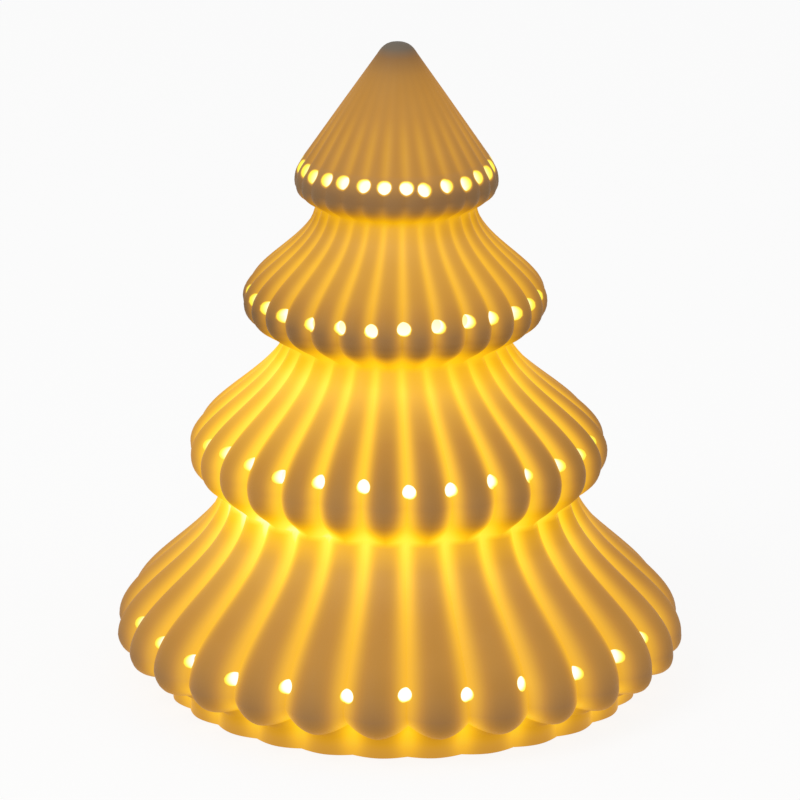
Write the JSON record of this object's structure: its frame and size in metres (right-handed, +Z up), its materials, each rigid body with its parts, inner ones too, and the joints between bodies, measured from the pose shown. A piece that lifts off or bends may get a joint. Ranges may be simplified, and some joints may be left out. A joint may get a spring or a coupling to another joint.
{
  "type": "ceramic christmas tree lamp",
  "caption": "Ribbed porcelain Christmas tree lamp with pierced tiers, on a plug-in battery light module with a hinged battery door and a slide switch.",
  "frame": {"origin": "centre of the foot, on the surface that the tree stands on", "axes": "+Z up the tree's axis to its tip, -Y towards the viewer, +X to the viewer's right, on the switch's side"},
  "size_m": [0.174, 0.174, 0.2],
  "materials": {
    "porcelain": "matt bisque, lit from inside",
    "case_plastic": "fine moulded texture",
    "seal_silicone": "satin",
    "opal_plastic": "satin opal",
    "cell_sleeve": "plain coated sleeve",
    "contact_metal": "nickel plated",
    "board": "solder mask",
    "lamp": "clear warm epoxy",
    "chip_plastic": "moulded",
    "resistor_ceramic": "glazed",
    "capacitor_can": "shrink sleeve",
    "switch_can": "tinned",
    "knob_plastic": "moulded",
    "screw_steel": "zinc plated",
    "wire_red": "insulated",
    "wire_black": "insulated",
    "wire_white": "insulated"
  },
  "bodies": {
    "tree": {"bottom_tier": "porcelain", "third_tier": "porcelain", "second_tier": "porcelain", "top_tier": "porcelain", "porcelain_floor": "porcelain"},
    "light_module": {"base_plate": "case_plastic", "module_housing": "case_plastic", "seal_ring": "seal_silicone", "light_dome": "opal_plastic", "battery_1": "cell_sleeve", "battery_2": "cell_sleeve", "battery_3": "cell_sleeve", "contact_spring_1": "contact_metal", "contact_spring_2": "contact_metal", "contact_spring_3": "contact_metal", "bridge_plate_1": "contact_metal", "bridge_plate_2": "contact_metal", "terminal_positive": "contact_metal", "terminal_negative": "contact_metal", "circuit_board": "board", "led_1": "lamp", "led_2": "lamp", "led_3": "lamp", "led_4": "lamp", "timer_chip": "chip_plastic", "resistors": "resistor_ceramic", "capacitor": "capacitor_can", "switch_body": "switch_can", "housing_screws": "screw_steel", "board_screws": "screw_steel", "wire_positive": "wire_red", "wire_negative": "wire_black", "switch_wires": "wire_white"},
    "battery_door": {"battery_door": "case_plastic"},
    "switch_knob": {"switch_knob": "knob_plastic"}
  },
  "joints": [
    {"name": "tree_lift", "type": "slide", "parent": "light_module", "child": "tree", "axis": [0, 0, 1], "range_m": [0, 0.05]},
    {"name": "door_hinge", "type": "hinge", "parent": "light_module", "child": "battery_door", "pos_m": [0, -0.02885, 0.0041], "axis": [-1, 0, 0], "range_deg": [0, 90]},
    {"name": "switch_slide", "type": "slide", "parent": "light_module", "child": "switch_knob", "axis": [0, 1, 0], "range_m": [-0.002, 0.002]}
  ]
}
